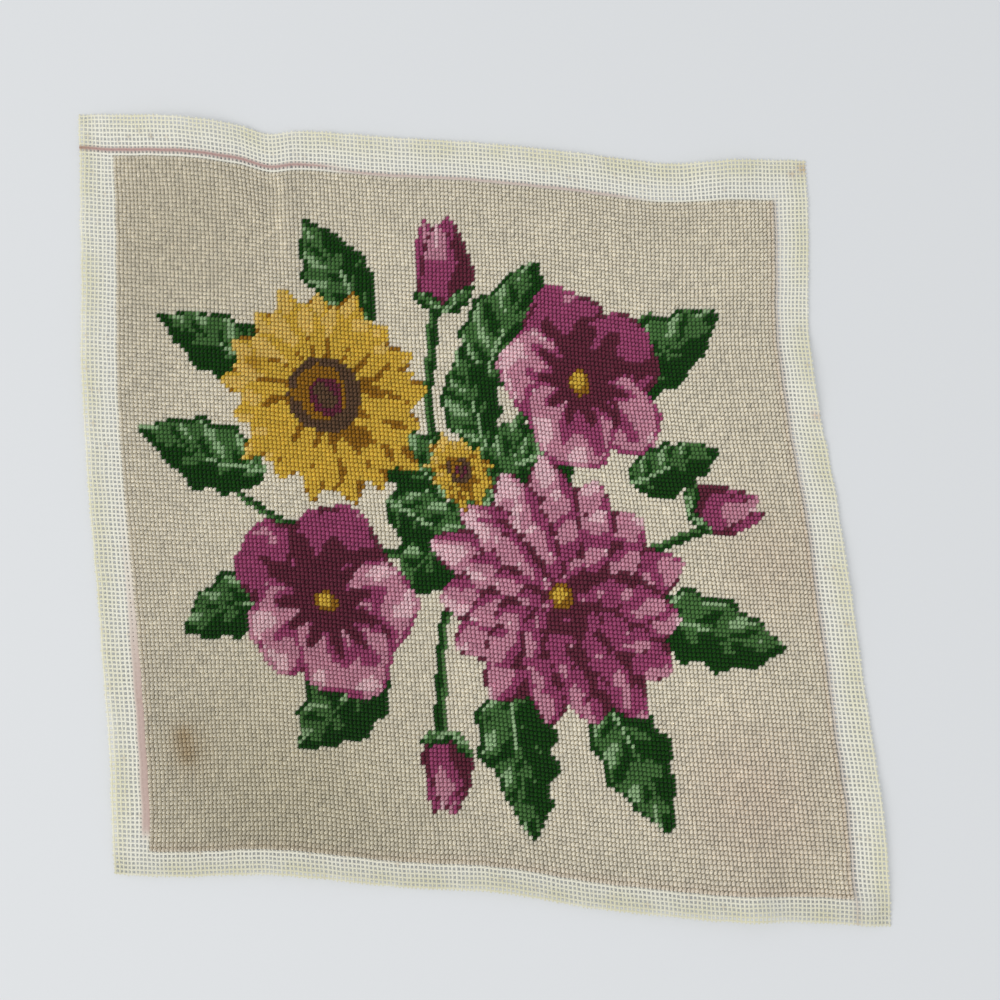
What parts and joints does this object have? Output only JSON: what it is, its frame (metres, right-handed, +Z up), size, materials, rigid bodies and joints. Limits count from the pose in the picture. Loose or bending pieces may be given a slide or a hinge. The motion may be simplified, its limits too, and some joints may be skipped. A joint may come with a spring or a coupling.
{
  "type": "needlepoint canvas panel",
  "caption": "worked needlepoint panel, a flower spray in wool tent stitch on open cotton canvas with bare mesh margins, lying a little out of square",
  "frame": {"origin": "middle of the part's box, on the underside that lies on the table", "axes": "Z is up out of the worked face; Y runs to the top of the design; X runs to its right"},
  "size_m": [0.4886, 0.488, 0.0074],
  "materials": {
    "canvas_cotton": "open single-thread cotton mesh, stiffened, ivory, yellowed at the cut edge",
    "tapestry_wool": "tapestry wool in tent stitch, beige ground with wine, plum, pink, green and gold"
  },
  "bodies": {
    "root": {"canvas": "canvas_cotton", "wool_stitching": "tapestry_wool"}
  },
  "joints": []
}
